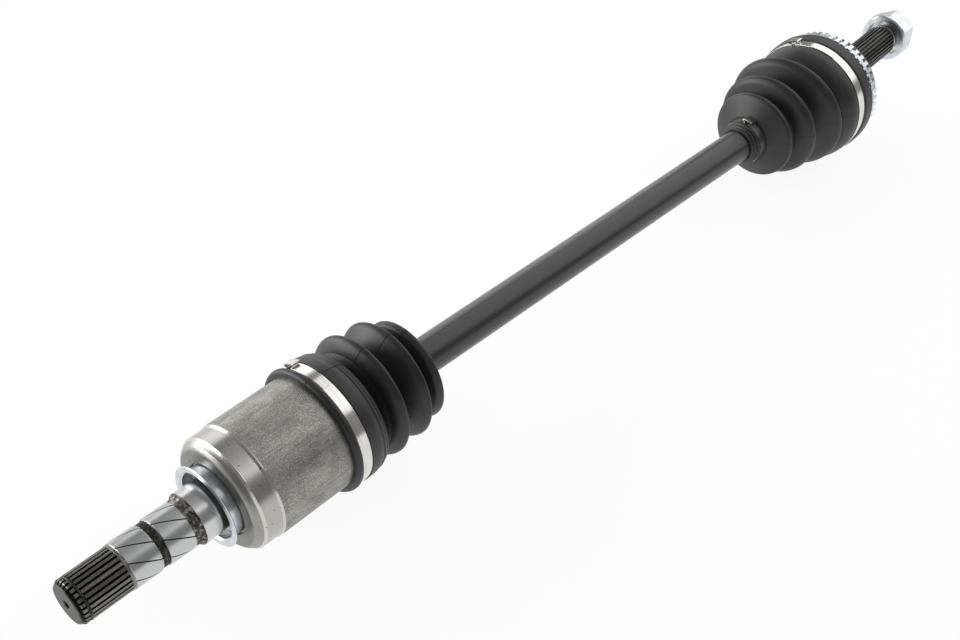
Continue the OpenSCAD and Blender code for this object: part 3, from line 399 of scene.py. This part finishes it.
# ------------------------------ coordinates and masks for the finishes
def on_axis(tree, place):
    """Where a point is on a member's own axes: millimetres, its radius, and its angle from +Y in radians."""
    inverse = place.inverted()
    coords = add(tree, "ShaderNodeTexCoord")
    local = add(tree, "ShaderNodeMapping", {"Vector": coords.outputs["Object"],
                                            "Location": inverse.translation, "Rotation": inverse.to_euler()})
    scaled = add(tree, "ShaderNodeVectorMath", {0: local, "Scale": 1 / MM}, operation="SCALE")
    parts = add(tree, "ShaderNodeSeparateXYZ", {0: scaled})
    across = add(tree, "ShaderNodeCombineXYZ", {"Y": parts.outputs["Y"], "Z": parts.outputs["Z"]})
    radius = add(tree, "ShaderNodeVectorMath", {0: across}, operation="LENGTH")
    angle = add(tree, "ShaderNodeMath", {0: parts.outputs["Z"], 1: parts.outputs["Y"]}, operation="ARCTAN2")
    return {"point": scaled.outputs[0], "x": parts.outputs["X"], "r": radius.outputs["Value"],
            "angle": angle.outputs[0]}


def zones(tree, at, span, table, values):
    """Hard bands along a member's axis. Values gives a zone of the table its hex colour or grey value, and a
    zone that it doesn't name has 0."""
    start, end = span
    along = add(tree, "ShaderNodeMapRange", {"Value": at["x"], "From Min": start, "From Max": end})
    bands = add(tree, "ShaderNodeValToRGB", {0: along},
                {(zone[0] - start) / (end - start): values.get(name, 0.0) for name, zone in table.items()})
    bands.color_ramp.interpolation = "CONSTANT"
    return bands


def column(table, number):
    """What one column of a table of zones says for each zone."""
    return {name: zone[number] for name, zone in table.items()}


def grain_of(tree, at, sizes, detail, rough=0.6):
    """Noise whose grains have these sizes in millimetres along a member's own three axes."""
    scaled = add(tree, "ShaderNodeVectorMath", {0: at["point"], 1: [1 / size for size in sizes]},
                 operation="MULTIPLY")
    return add(tree, "ShaderNodeTexNoise", {
        "Vector": scaled, "Scale": 1.0, "Detail": detail, "Roughness": rough})


def tool_rings(tree, at, spacing, wander):
    """Fine rings that turning, grinding or rolling leaves round the axis, this many millimetres apart."""
    wide = add(tree, "ShaderNodeCombineXYZ", {"X": at["x"], "Y": at["angle"]})
    scaled = add(tree, "ShaderNodeVectorMath", {0: wide, 1: (1 / spacing, wander, 1.0)}, operation="MULTIPLY")
    return add(tree, "ShaderNodeTexNoise", {"Vector": scaled, "Scale": 1.0, "Detail": 3.0})


def parting_line(tree, at, angle, winding, shows):
    """How much shows of the thin seam that the mould's two halves leave along a boot, on opposite sides."""
    away = add(tree, "ShaderNodeMath", {0: at["x"]}, operation="ABSOLUTE")
    wind = add(tree, "ShaderNodeMath", {0: away, 1: math.radians(winding)}, operation="MULTIPLY")
    start = add(tree, "ShaderNodeMath", {0: at["angle"], 1: math.radians(angle)}, operation="SUBTRACT")
    turned = add(tree, "ShaderNodeMath", {0: start, 1: wind}, operation="SUBTRACT")
    side = add(tree, "ShaderNodeMath", {0: turned}, operation="SINE")
    off = add(tree, "ShaderNodeMath", {0: side, 1: at["r"]}, operation="MULTIPLY")
    gap = add(tree, "ShaderNodeMath", {0: off}, operation="ABSOLUTE")
    return add(tree, "ShaderNodeMapRange", {
        "Value": gap, "From Min": SEAM_FADES, "From Max": SEAM_FULL, "To Max": shows})


def oil_grooves(tree, at):
    """1 on the oil grooves that wind over the bearing journals."""
    first = 0.5 - (GROOVE_ANGLE - GROOVE_LEAD * GROOVE_STATION) / GROOVE_SPACING
    turn = add(tree, "ShaderNodeMath", {0: at["angle"], 1: GROOVES / math.tau}, operation="MULTIPLY")
    lead = add(tree, "ShaderNodeMath", {0: at["x"], 1: -GROOVE_LEAD / GROOVE_SPACING}, operation="MULTIPLY")
    phase = add(tree, "ShaderNodeMath", {0: turn, 1: lead}, operation="ADD")
    shifted = add(tree, "ShaderNodeMath", {0: phase, 1: first}, operation="ADD")
    share = add(tree, "ShaderNodeMath", {0: shifted}, operation="FRACT")
    centred = add(tree, "ShaderNodeMath", {0: share, 1: 0.5}, operation="SUBTRACT")
    away = add(tree, "ShaderNodeMath", {0: centred}, operation="ABSOLUTE")
    return add(tree, "ShaderNodeMapRange", {"Value": away, "From Min": GROOVE_FADES, "From Max": GROOVE_FULL})


def darkened_tooth_roots(tree, at, radii, teeth):
    """1 between the spline teeth below a radius, in the zones where the teeth are."""
    starts, full = radii
    deep = add(tree, "ShaderNodeMapRange", {"Value": at["r"], "From Min": starts, "From Max": full})
    return add(tree, "ShaderNodeMath", {0: deep, 1: teeth}, operation="MULTIPLY")


# ------------------------------ finishes
def chloroprene(name, place, parting):
    """Injection-moulded chloroprene rubber: soft black sheen, faint wax bloom, a dull seam in painted shade."""
    new, tree, shader = material(name, IOR=1.56)
    at = on_axis(tree, place)
    bloom = grain_of(tree, at, (14, 14, 14), 5.0)
    # The mould's spark-eroded grain is a tenth of a millimetre; it is drawn three times as coarse, to show.
    grain = grain_of(tree, at, (0.35, 0.35, 0.35), 3.0)
    seam = parting_line(tree, at, *parting)
    base = add(tree, "ShaderNodeValToRGB", {0: bloom}, {0.3: "#201f20", 0.7: "#282728"})
    # The seam's near-black colour is painted shade of the mould's small step; its roughness of 1 is real dullness.
    colour = add(tree, "ShaderNodeMix", {0: seam, 6: base, 7: srgb("#050505")}, data_type="RGBA")
    waxy = add(tree, "ShaderNodeMapRange", {"Value": bloom, "To Min": 0.4, "To Max": 0.52})
    rough = add(tree, "ShaderNodeMix", {0: seam, 2: waxy, 3: 1.0})
    bump = add(tree, "ShaderNodeBump", {"Height": grain, "Strength": 0.12, "Distance": 0.0002})
    wire(tree, shader, colour.outputs[2], rough.outputs[0], bump.outputs[0])
    return new


def gearbox_steel():
    """Forged, turned and ground steel of the tripod housing: each zone keeps the skin of its own making."""
    new, tree, shader = material("forged_and_ground_steel", Metallic=1.0)
    at = on_axis(tree, HOUSING)
    # Ground journals are bright, the turned nose is satin, and the shot-blasted forging is grey and speckled.
    base = zones(tree, at, HOUSING_SPAN, HOUSING_ZONES, column(HOUSING_ZONES, COLOUR))
    polish = zones(tree, at, HOUSING_SPAN, HOUSING_ZONES, column(HOUSING_ZONES, ROUGHNESS))
    rawness = zones(tree, at, HOUSING_SPAN, HOUSING_ZONES, column(HOUSING_ZONES, RAW_SHARE))
    flaky = zones(tree, at, HOUSING_SPAN, HOUSING_ZONES, {"scaly_neck": 0.7, "scaly_collar": 1.0})
    soft_skin = zones(tree, at, HOUSING_SPAN, HOUSING_ZONES, {
        "nose_face": 1.0, "nose_round": 1.0, "front_edge": 1.0, "turned_band": 1.0, "back_edge": 1.0})
    journals = zones(tree, at, HOUSING_SPAN, HOUSING_ZONES, {"outer_journal": 1.0, "inner_journal": 1.0})
    teeth = zones(tree, at, HOUSING_SPAN, HOUSING_ZONES, {"stub_teeth": 1.0})
    # Shot leaves dimples of half a millimetre, scale leaves centimetre clouds, and drawing leaves streaks.
    dimples = grain_of(tree, at, (0.55, 0.55, 0.55), 4.0, 0.75)
    clouds = grain_of(tree, at, (16, 9, 9), 3.0)
    streaks = grain_of(tree, at, (18, 1.4, 1.4), 3.0)
    speckle = add(tree, "ShaderNodeValToRGB", {0: dimples}, {0.34: 0.45, 0.47: 0.9, 0.55: 1.05, 0.64: 2.1})
    cloudy = add(tree, "ShaderNodeValToRGB", {0: clouds}, {0.34: 0.8, 0.66: 1.16})
    lined = add(tree, "ShaderNodeValToRGB", {0: streaks}, {0.34: 0.88, 0.66: 1.1})
    skin = add(tree, "ShaderNodeMix", {0: 1.0, 6: speckle, 7: cloudy}, data_type="RGBA",
               blend_type="MULTIPLY")
    forged = add(tree, "ShaderNodeMix", {0: 1.0, 6: skin.outputs[2], 7: lined}, data_type="RGBA",
                 blend_type="MULTIPLY")
    shade = add(tree, "ShaderNodeMix", {0: rawness, 6: (1, 1, 1, 1), 7: forged.outputs[2]}, data_type="RGBA")
    # Two narrow rings keep flakes of scale, and the turned nose has a few small dark pits.
    flakes = add(tree, "ShaderNodeValToRGB", {0: grain_of(tree, at, (2.6, 2.6, 2.6), 3.0)},
                 {0.4: 0.4, 0.52: 0.8, 0.62: 2.6})
    pits = add(tree, "ShaderNodeValToRGB", {0: grain_of(tree, at, (2.6, 2.6, 2.6), 1.0)},
               {0.25: 0.25, 0.29: 1.0})
    flaked = add(tree, "ShaderNodeMix", {0: flaky, 6: shade.outputs[2], 7: flakes}, data_type="RGBA")
    pitted = add(tree, "ShaderNodeMix", {0: soft_skin, 6: (1, 1, 1, 1), 7: pits}, data_type="RGBA")
    skins = add(tree, "ShaderNodeMix", {0: 1.0, 6: flaked.outputs[2], 7: pitted.outputs[2]}, data_type="RGBA",
                blend_type="MULTIPLY")
    raw = add(tree, "ShaderNodeMix", {0: 1.0, 6: base, 7: skins.outputs[2]}, data_type="RGBA",
              blend_type="MULTIPLY")
    # The oil grooves are drawn only here: painted near black as painted shade inside them, and rougher.
    groove = add(tree, "ShaderNodeMath", {0: oil_grooves(tree, at), 1: journals}, operation="MULTIPLY")
    # The roots between the spline teeth are darkened near black.
    dark_roots = darkened_tooth_roots(tree, at, DARK_ROOTS_HOUSING_TEETH, teeth)
    dark = add(tree, "ShaderNodeMath", {0: groove, 1: dark_roots}, operation="MAXIMUM")
    colour = add(tree, "ShaderNodeMix", {0: dark, 6: raw.outputs[2], 7: srgb("#1d1c1b")}, data_type="RGBA")
    rings = tool_rings(tree, at, 0.3, 0.5)
    shine = add(tree, "ShaderNodeMapRange", {"Value": rings, "To Min": -0.03, "To Max": 0.03})
    satin = add(tree, "ShaderNodeMath", {0: polish, 1: shine}, operation="ADD")
    rough = add(tree, "ShaderNodeMix", {0: groove, 2: satin, 3: 0.6})
    dented = add(tree, "ShaderNodeMath", {0: dimples, 1: rawness}, operation="MULTIPLY")
    turned = add(tree, "ShaderNodeMath", {0: rings, 1: 0.012}, operation="MULTIPLY")
    height = add(tree, "ShaderNodeMath", {0: dented, 1: turned}, operation="ADD")
    bump = add(tree, "ShaderNodeBump", {"Height": height, "Strength": 0.3, "Distance": 0.0002})
    wire(tree, shader, colour.outputs[2], rough.outputs[0], bump.outputs[0])
    return new


def wheel_steel():
    """Hot-forged, heat-blackened steel of the bell, with its induction-hardened and turned wheel stub."""
    new, tree, shader = material("blackened_forged_steel", Metallic=1.0)
    at = on_axis(tree, BELL)
    base = zones(tree, at, BELL_SPAN, BELL_ZONES, column(BELL_ZONES, COLOUR))
    polish = zones(tree, at, BELL_SPAN, BELL_ZONES, column(BELL_ZONES, ROUGHNESS))
    teeth = zones(tree, at, BELL_SPAN, BELL_ZONES, {"teeth_run_in": 1.0, "teeth": 1.0})
    # Scale of the forging, about a millimetre, and the broach's streaks along the teeth.
    scale = grain_of(tree, at, (1.2, 1.2, 1.2), 5.0, 0.7)
    streaks = grain_of(tree, at, (20, 1.2, 1.2), 4.0)
    speckle = add(tree, "ShaderNodeValToRGB", {0: scale}, {0.32: 0.7, 0.68: 1.3})
    lined = add(tree, "ShaderNodeValToRGB", {0: streaks}, {0.35: 0.8, 0.65: 1.2})
    shade = add(tree, "ShaderNodeMix", {0: teeth, 6: speckle, 7: lined}, data_type="RGBA")
    raw = add(tree, "ShaderNodeMix", {0: 1.0, 6: base, 7: shade.outputs[2]}, data_type="RGBA",
              blend_type="MULTIPLY")
    # The roots between the spline teeth are darkened near black.
    dark_roots = darkened_tooth_roots(tree, at, DARK_ROOTS_BELL_TEETH, teeth)
    colour = add(tree, "ShaderNodeMix", {0: dark_roots, 6: raw.outputs[2], 7: srgb("#1b1b1c")}, data_type="RGBA")
    bump = add(tree, "ShaderNodeBump", {"Height": scale, "Strength": 0.25, "Distance": 0.0003})
    wire(tree, shader, colour.outputs[2], polish.outputs[0], bump.outputs[0])
    return new


def satin_black_paint():
    """Baked black chassis paint on the bar: satin under a glossier skin, with the steel's drawn lines."""
    new, tree, shader = material("baked_satin_black_paint", Coat_Weight=0.35, Coat_Roughness=0.22)
    at = on_axis(tree, BAR)
    drawn = grain_of(tree, at, (50, 2, 2), 4.0)
    orange_peel = grain_of(tree, at, (1.6, 1.6, 1.6), 3.0)
    colour = add(tree, "ShaderNodeValToRGB", {0: drawn}, {0.3: "#262628", 0.7: "#2e2e30"})
    rough = add(tree, "ShaderNodeMapRange", {"Value": drawn, "To Min": 0.32, "To Max": 0.42})
    bump = add(tree, "ShaderNodeBump", {"Height": orange_peel, "Strength": 0.1, "Distance": 0.0002})
    wire(tree, shader, colour.outputs[0], rough.outputs[0], bump.outputs[0])
    return new


def bright_zinc(name, place):
    """Clear-passivated zinc plate: cold blue-white, lightly clouded where the bath left it uneven."""
    new, tree, shader = material(name, Metallic=1.0)
    at = on_axis(tree, place)
    clouds = grain_of(tree, at, (6, 6, 6), 4.0)
    spangle = grain_of(tree, at, (0.4, 0.4, 0.4), 2.0)
    colour = add(tree, "ShaderNodeValToRGB", {0: clouds}, {0.32: "#c6ccd1", 0.68: "#dfe4e8"})
    rough = add(tree, "ShaderNodeMapRange", {"Value": clouds, "To Min": 0.34, "To Max": 0.24})
    bump = add(tree, "ShaderNodeBump", {"Height": spangle, "Strength": 0.1, "Distance": 0.0001})
    wire(tree, shader, colour.outputs[0], rough.outputs[0], bump.outputs[0])
    return new


def stainless_strip(name, place):
    """Cold-rolled stainless strip: mirror-like, with fine rolling lines along the band."""
    new, tree, shader = material(name, Metallic=1.0)
    at = on_axis(tree, place)
    lines = tool_rings(tree, at, 0.25, 1.5)
    smears = tool_rings(tree, at, 3.0, 2.5)
    colour = add(tree, "ShaderNodeValToRGB", {0: smears}, {0.35: "#d3d1cc", 0.65: "#e3e1dc"})
    rough = add(tree, "ShaderNodeMapRange", {"Value": smears, "To Min": 0.2, "To Max": 0.15})
    bump = add(tree, "ShaderNodeBump", {"Height": lines, "Strength": 0.1, "Distance": 0.0001})
    wire(tree, shader, colour.outputs[0], rough.outputs[0], bump.outputs[0])
    return new


def blued_spring_steel(name, place):
    """Oil-blacked spring steel of the circlip, snap rings and keepers: nearly black with a soft shine."""
    new, tree, shader = material(name, Metallic=1.0)
    at = on_axis(tree, place)
    mottle = grain_of(tree, at, (2, 2, 2), 4.0)
    colour = add(tree, "ShaderNodeValToRGB", {0: mottle}, {0.35: "#2e2e30", 0.65: "#4a4a4d"})
    rough = add(tree, "ShaderNodeMapRange", {"Value": mottle, "To Min": 0.28, "To Max": 0.42})
    wire(tree, shader, colour.outputs[0], rough.outputs[0])
    return new


def ground_bearing_steel(name, place, light, dark, rough):
    """Hardened bearing steel, ground and lapped: bright, with a breath of grease haze."""
    new, tree, shader = material(name, Metallic=1.0)
    at = on_axis(tree, place)
    haze = grain_of(tree, at, (5, 5, 5), 4.0)
    colour = add(tree, "ShaderNodeValToRGB", {0: haze}, {0.35: dark, 0.65: light})
    gloss = add(tree, "ShaderNodeMapRange", {"Value": haze, "To Min": rough, "To Max": rough + 0.12})
    wire(tree, shader, colour.outputs[0], gloss.outputs[0])
    return new


# ------------------------------ camera, light and floor
def build_stage():
    """The white table, level with the lowest point of the axle."""
    floor_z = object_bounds()[0][2]
    half = FLOOR_HALF
    mesh = bpy.data.meshes.new("floor")
    mesh.from_pydata([(-half, -half, floor_z), (half, -half, floor_z), (half, half, floor_z),
                      (-half, half, floor_z)], [], [(0, 1, 2, 3)])
    floor = bpy.data.objects.new("floor", mesh)
    bpy.context.scene.collection.objects.link(floor)
    # Most of the table's brightness is its own, so it stays white and the shadow stays faint.
    pale, tree, shader = material("white_table", Roughness=0.95, Specular_IOR_Level=0.0)
    shader.inputs["Base Color"].default_value = srgb("#f4f4f4")
    path = add(tree, "ShaderNodeLightPath")
    mirrored = add(tree, "ShaderNodeMath", {0: path.outputs["Is Glossy Ray"],
                                            1: path.outputs["Is Transmission Ray"]}, operation="MAXIMUM")
    seen = add(tree, "ShaderNodeMath", {0: path.outputs["Is Camera Ray"], 1: mirrored}, operation="MAXIMUM")
    part = add(tree, "ShaderNodeMath", {0: seen, 1: 0.85}, operation="MULTIPLY")
    glow = add(tree, "ShaderNodeEmission", {"Color": (1, 1, 1, 1), "Strength": 1.06})
    mix = add(tree, "ShaderNodeMixShader", {0: part, 1: shader, 2: glow})
    tree.links.new(mix.outputs[0], tree.nodes["Material Output"].inputs["Surface"])
    mesh.materials.append(pale)


def build_camera():
    """A full-frame camera, which is the scene's own."""
    data = bpy.data.cameras.new("camera")
    data.sensor_width = 36.0
    data.lens = CAMERA_LENS
    data.clip_end = 100.0
    camera = bpy.data.objects.new("camera", data)
    camera.location = Vector(CAMERA_SPOT) * MM
    camera.rotation_euler = Vector(CAMERA_LOOKS).to_track_quat("-Z", "Y").to_euler()
    bpy.context.scene.collection.objects.link(camera)
    bpy.context.scene.camera = camera


def soft_box(name, azimuth, height, width, tall, power):
    """A rectangular soft box that faces the axle's middle, at degrees round from +X and up from level."""
    middle = (TRIPOD + RACE) / 2
    a, h = math.radians(azimuth), math.radians(height)
    way = Vector((math.cos(h) * math.cos(a), math.cos(h) * math.sin(a), math.sin(h)))
    data = bpy.data.lights.new(name, "AREA")
    data.shape = "RECTANGLE"
    data.size = width
    data.size_y = tall
    data.energy = power
    lamp = bpy.data.objects.new(name, data)
    lamp.location = middle + way * BOX_DISTANCE
    lamp.rotation_euler = (-way).to_track_quat("-Z", "Y").to_euler()
    bpy.context.scene.collection.objects.link(lamp)


def build_light():
    """A pale world and three soft boxes."""
    world = bpy.data.worlds.new("studio")
    bpy.context.scene.world = world
    world.use_nodes = True
    world.node_tree.nodes["Background"].inputs["Color"].default_value = srgb("#ffffff")
    world.node_tree.nodes["Background"].inputs["Strength"].default_value = 0.25
    # To the camera, a low box is at the back, another at the left, and a bigger one is high at the right.
    # They leave dark gaps between them, and no box stands behind the camera.
    soft_box("back_box", azimuth=60, height=19, width=1.75, tall=1.75, power=14)
    soft_box("left_box", azimuth=124, height=13, width=2.6, tall=1.6, power=58)
    soft_box("right_box", azimuth=-10, height=44, width=3.8, tall=2.75, power=40)
    bpy.context.scene.view_settings.view_transform = "Standard"


# ------------------------------ the axle's finishes and pieces
RUBBER_IN = chloroprene("moulded_chloroprene_inboard", HOUSING, PARTING_IN)
RUBBER_OUT = chloroprene("moulded_chloroprene_outboard", BAR_AT_RACE, PARTING_OUT)
GEARBOX_STEEL = gearbox_steel()
WHEEL_STEEL = wheel_steel()
PAINT = satin_black_paint()
ZINC_IN = bright_zinc("bright_zinc_gearbox_end", HOUSING)
ZINC_OUT = bright_zinc("bright_zinc_wheel_end", BELL)
BAND_IN = stainless_strip("stainless_strip_inboard", HOUSING)
BAND_OUT = stainless_strip("stainless_strip_outboard", BELL)
SMALL_BAND_IN = stainless_strip("stainless_strip_small_inboard", BAR)
SMALL_BAND_OUT = stainless_strip("stainless_strip_small_outboard", BAR_AT_RACE)
SPRING_STEEL = blued_spring_steel("blued_spring_steel", HOUSING)
MACHINED = ground_bearing_steel("hardened_spider_steel", HOUSING, "#a9a9a5", "#8c8c88", 0.26)
BEARING = ground_bearing_steel("lapped_bearing_steel", HOUSING, "#dadad7", "#c4c4c1", 0.1)

finish_of = {"inboard_housing": GEARBOX_STEEL, "outboard_bell": WHEEL_STEEL, "axle_bar": PAINT,
             "dust_shield": ZINC_IN, "sensor_ring": ZINC_OUT, "axle_nut": ZINC_OUT,
             "inboard_large_clamp": BAND_IN, "outboard_large_clamp": BAND_OUT,
             "inboard_small_clamp": SMALL_BAND_IN, "outboard_small_clamp": SMALL_BAND_OUT,
             "stub_circlip": SPRING_STEEL, "race_snap_ring": SPRING_STEEL, "spider_snap_rings": SPRING_STEEL,
             "tripod_spider": MACHINED, "inner_race": MACHINED, "inboard_boot": RUBBER_IN,
             "outboard_boot": RUBBER_OUT}
for number in (1, 2, 3):
    finish_of[f"needle_keepers_{number}"] = SPRING_STEEL
    finish_of[f"roller_{number}"] = MACHINED
# Needles, tilt rings, balls and cage are left, and all of them are lapped.
for node, obj in frame["nodes"].items():
    for slot in obj.material_slots:
        slot.material = finish_of.get(node, BEARING)

BOOT_SWEEP = boot_sweep()

inboard_lean = {"Bend": TRIPOD_BEND, "Bend From": 98 * MM, "Bend To": 42.5 * MM, "Slack From": 42.5 * MM,
                "Slack Full": 56 * MM, "Slack Fades": 80 * MM, "Slack To": 99 * MM,
                "Stand Off": (0, 0.7 * MM, 0.6 * MM), "Tip": (0, 0, 0.03)}
outboard_lean = {"Bend": RACE_BEND, "Bend From": -97 * MM, "Bend To": -31 * MM, "Slack From": -31 * MM,
                 "Slack Full": -43 * MM, "Slack Fades": -46 * MM, "Slack To": -96 * MM,
                 "Stand Off": (0, 2.6 * MM, 1.9 * MM), "Tip": (0, -0.06, -0.1)}
mouth_boot = boot_piece("inboard_boot_mouth", INBOARD_MOUTH, 1, BAR, inboard_lean, RUBBER_IN)
neck_boot = boot_piece("inboard_boot_neck", INBOARD_NECK, 1, BAR, inboard_lean, RUBBER_IN)
wheel_boot = boot_piece("outboard_boot_bellows", OUTBOARD_BOOT, -1, BAR_AT_RACE, outboard_lean, RUBBER_OUT)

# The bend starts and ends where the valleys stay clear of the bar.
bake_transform(mouth_boot)
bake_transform(neck_boot)
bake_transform(wheel_boot)
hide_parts("inboard_boot")
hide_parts("inboard_boot")
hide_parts("outboard_boot")

thread_maker = bpy.data.objects.new("thread_maker", bpy.data.meshes.new("thread_maker"))
thread = evaluated("wheel_stub_thread", thread_maker, stub_thread(),
                   {"Radius": (THREAD_R - 0.1) * MM, "Pitch": THREAD_PITCH * MM, "Turns": THREAD_TURNS,
                    "Ridge": THREAD_RIDGE * MM, "Steel": WHEEL_STEEL}, sharp=60)
climbs_along_x = Matrix.Rotation(math.pi / 2, 4, "Y")
thread.data.transform(BELL @ Matrix.Translation((THREAD_STARTS * MM, 0, 0)) @ climbs_along_x)
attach(thread, "bell")

build_stage()
build_camera()
build_light()
